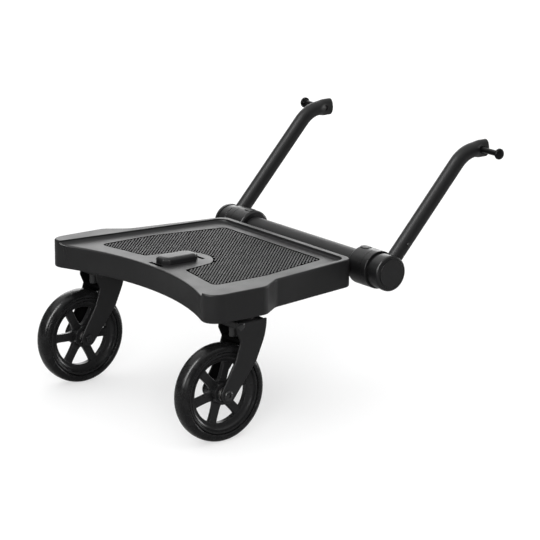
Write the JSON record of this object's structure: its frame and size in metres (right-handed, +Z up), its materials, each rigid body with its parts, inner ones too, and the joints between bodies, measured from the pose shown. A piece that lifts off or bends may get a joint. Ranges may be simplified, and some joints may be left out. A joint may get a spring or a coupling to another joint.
{
  "type": "buggy board",
  "caption": "Ride-on board for a pushchair: moulded deck with ribbed mat, sprung swivel casters at its trailing edge, and a cross tube with folding bent arms that end in studs.",
  "frame": {"origin": "on the ground, below the middle of the overall box", "axes": "+X to the rider's right, +Y forwards to the pushchair, +Z up"},
  "size_m": [0.499, 0.5806, 0.3936],
  "materials": {
    "tray_plastic": "satin moulded black",
    "mat_rubber": "ribbed black non-slip rubber",
    "handle_plastic": "satin moulded black",
    "rim_plastic": "satin moulded black",
    "tyre_rubber": "smooth black rubber",
    "fork_plastic": "satin moulded black",
    "hinge_plastic": "satin moulded black",
    "button_plastic": "satin moulded black",
    "stud_plastic": "satin moulded black",
    "black_paint": "matt black powder coat",
    "black_steel": "blackened steel",
    "bare_steel": "bare steel, mostly hidden",
    "white_nylon": "plain nylon, hidden",
    "bumper_rubber": "solid black rubber"
  },
  "bodies": {
    "board": {"deck_tray": "tray_plastic", "standing_mat": "mat_rubber", "cross_tube": "black_paint", "saddle_screws": "black_steel", "collar_rivets": "black_steel", "tube_saddle_right": "tray_plastic", "hinge_collar_right": "hinge_plastic", "hinge_bolt_right": "bare_steel", "hinge_washer_right": "hinge_plastic", "swivel_bush_right": "white_nylon", "thrust_washer_right": "white_nylon", "button_spring_right": "bare_steel", "tube_saddle_left": "tray_plastic", "hinge_collar_left": "hinge_plastic", "hinge_bolt_left": "bare_steel", "hinge_washer_left": "hinge_plastic", "swivel_bush_left": "white_nylon", "thrust_washer_left": "white_nylon", "button_spring_left": "bare_steel"},
    "lift_handle": {"lift_handle": "handle_plastic"},
    "release_button_right": {"release_button_right": "button_plastic"},
    "arm_right": {"arm_hub_right": "hinge_plastic", "hub_cap_right": "hinge_plastic", "arm_tube_right": "black_paint", "arm_end_cap_right": "hinge_plastic", "mount_stud_right": "stud_plastic"},
    "snap_button_right": {"snap_button_right": "black_steel"},
    "swivel_right": {"swivel_head_right": "fork_plastic", "kingpin_right": "bare_steel", "stem_clip_right": "bare_steel", "fork_pivot_right": "bare_steel", "suspension_bumper_right": "bumper_rubber"},
    "fork_right": {"caster_fork_right": "fork_plastic", "limiter_pin_right": "black_steel", "axle_bolt_right": "black_steel", "axle_nut_right": "black_steel", "axle_spacers_right": "white_nylon"},
    "wheel_right": {"wheel_rim_right": "rim_plastic", "tyre_right": "tyre_rubber", "wheel_bearings_right": "bare_steel"},
    "release_button_left": {"release_button_left": "button_plastic"},
    "arm_left": {"arm_hub_left": "hinge_plastic", "hub_cap_left": "hinge_plastic", "arm_tube_left": "black_paint", "arm_end_cap_left": "hinge_plastic", "mount_stud_left": "stud_plastic"},
    "snap_button_left": {"snap_button_left": "black_steel"},
    "swivel_left": {"swivel_head_left": "fork_plastic", "kingpin_left": "bare_steel", "stem_clip_left": "bare_steel", "fork_pivot_left": "bare_steel", "suspension_bumper_left": "bumper_rubber"},
    "fork_left": {"caster_fork_left": "fork_plastic", "limiter_pin_left": "black_steel", "axle_bolt_left": "black_steel", "axle_nut_left": "black_steel", "axle_spacers_left": "white_nylon"},
    "wheel_left": {"wheel_rim_left": "rim_plastic", "tyre_left": "tyre_rubber", "wheel_bearings_left": "bare_steel"}
  },
  "joints": [
    {"name": "handle_lift", "type": "slide", "parent": "board", "child": "lift_handle", "axis": [0, 0, 1], "range_m": [0, 0.019]},
    {"name": "arm_fold_right", "type": "hinge", "parent": "board", "child": "arm_right", "pos_m": [0.1842, 0.09074, 0.2119], "axis": [1, 0, 0], "range_deg": [-80, 95]},
    {"name": "release_press_right", "type": "slide", "parent": "board", "child": "release_button_right", "axis": [0, 0, -1], "range_m": [0, 0.003], "stiffness_N_per_m": 400, "springref_m": -0.002, "deforming": ["button_spring_right"]},
    {"name": "snap_press_right", "type": "slide", "parent": "arm_right", "child": "snap_button_right", "axis": [-1, 0, 0], "range_m": [0, 0.0036], "stiffness_N_per_m": 400, "springref_m": -0.002},
    {"name": "caster_swivel_right", "type": "hinge", "parent": "board", "child": "swivel_right", "pos_m": [0.1876, -0.17126, 0.1891], "axis": [0, 0, 1], "continuous": true},
    {"name": "suspension_right", "type": "hinge", "parent": "swivel_right", "child": "fork_right", "pos_m": [0.1876, -0.15726, 0.177], "axis": [-1, 0, 0], "range_deg": [0, 5], "stiffness_Nm_per_rad": 60, "springref_deg": -1.72, "deforming": ["suspension_bumper_right"]},
    {"name": "wheel_spin_right", "type": "hinge", "parent": "fork_right", "child": "wheel_right", "pos_m": [0.1876, -0.21526, 0.075], "axis": [1, 0, 0], "continuous": true},
    {"name": "arm_fold_left", "type": "hinge", "parent": "board", "child": "arm_left", "pos_m": [-0.1842, 0.09074, 0.2119], "axis": [1, 0, 0], "range_deg": [-80, 95]},
    {"name": "release_press_left", "type": "slide", "parent": "board", "child": "release_button_left", "axis": [0, 0, -1], "range_m": [0, 0.003], "stiffness_N_per_m": 400, "springref_m": -0.002, "deforming": ["button_spring_left"]},
    {"name": "snap_press_left", "type": "slide", "parent": "arm_left", "child": "snap_button_left", "axis": [1, 0, 0], "range_m": [0, 0.0036], "stiffness_N_per_m": 400, "springref_m": -0.002},
    {"name": "caster_swivel_left", "type": "hinge", "parent": "board", "child": "swivel_left", "pos_m": [-0.1876, -0.17126, 0.1891], "axis": [0, 0, 1], "continuous": true},
    {"name": "suspension_left", "type": "hinge", "parent": "swivel_left", "child": "fork_left", "pos_m": [-0.1876, -0.15726, 0.177], "axis": [-1, 0, 0], "range_deg": [0, 5], "stiffness_Nm_per_rad": 60, "springref_deg": -1.72, "deforming": ["suspension_bumper_left"]},
    {"name": "wheel_spin_left", "type": "hinge", "parent": "fork_left", "child": "wheel_left", "pos_m": [-0.1876, -0.21526, 0.075], "axis": [1, 0, 0], "continuous": true}
  ]
}
